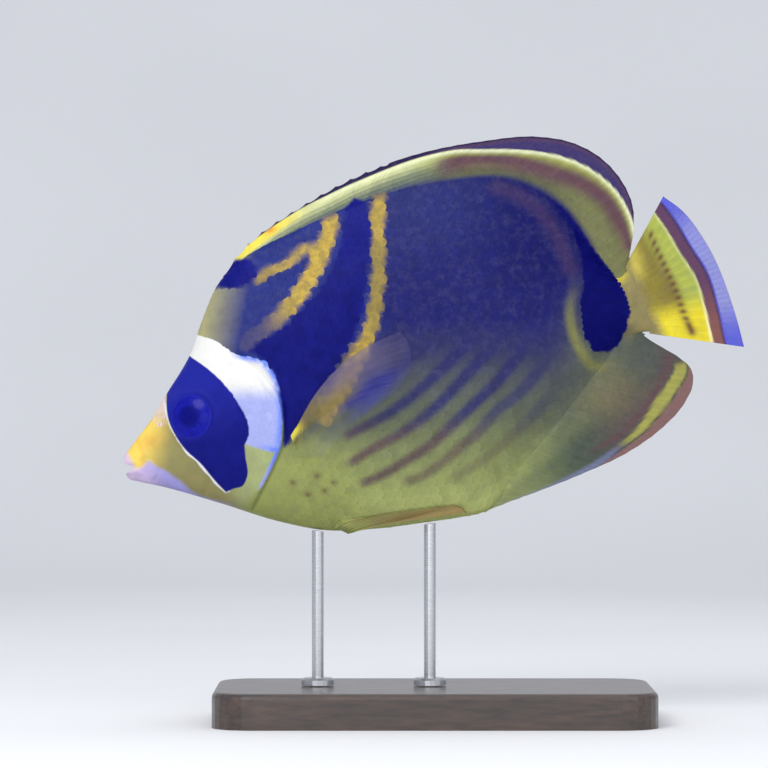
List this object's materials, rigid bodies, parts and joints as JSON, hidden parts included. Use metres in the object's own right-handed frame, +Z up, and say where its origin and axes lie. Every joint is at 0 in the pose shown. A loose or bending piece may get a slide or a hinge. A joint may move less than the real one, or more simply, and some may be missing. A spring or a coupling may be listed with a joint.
{
  "type": "raccoon butterflyfish model",
  "caption": "Life-size model of a raccoon butterflyfish, nose slightly down, fins spread, held over a flat base by slim rods.",
  "frame": {"origin": "middle of the underside of the stand's base, below the middle of the fish's length", "axes": "+X from the fish's snout towards its tail, level; +Y towards the fish's right flank; +Z up"},
  "size_m": [0.1583, 0.06, 0.1493],
  "materials": {
    "skin_head": "satin fish skin: yellow snout, navy eye mask, white bar",
    "skin_body": "satin scaled skin: olive yellow with slate flank, navy shoulder band and oblique stripes",
    "eye": "glassy, very dark blue iris",
    "fin_back": "scaled at the root, yellow with a purple-brown margin",
    "fin_anal": "olive grey with a yellow rear strip and purple-brown margin",
    "fin_tail": "yellow with a dotted line, a brown band and a clear margin",
    "fin_clear": "thin, see-through membrane between pale rays",
    "fin_belly": "olive brown, folded rays",
    "stand_wood": "dark stained, satin lacquer",
    "stand_steel": "fine turned steel rod"
  },
  "bodies": {
    "root": {"head": "skin_head", "lower_jaw": "skin_head", "trunk": "skin_body", "tail_stalk": "skin_body", "eye_left": "eye", "eye_right": "eye", "dorsal_fin_spiny": "fin_back", "dorsal_fin_soft": "fin_back", "anal_fin": "fin_anal", "tail_fin": "fin_tail", "pectoral_fin_left": "fin_clear", "pectoral_fin_right": "fin_clear", "pelvic_fin_left": "fin_belly", "pelvic_fin_right": "fin_belly", "stand_base": "stand_wood", "stand_rod_front": "stand_steel", "stand_rod_rear": "stand_steel"}
  },
  "joints": []
}
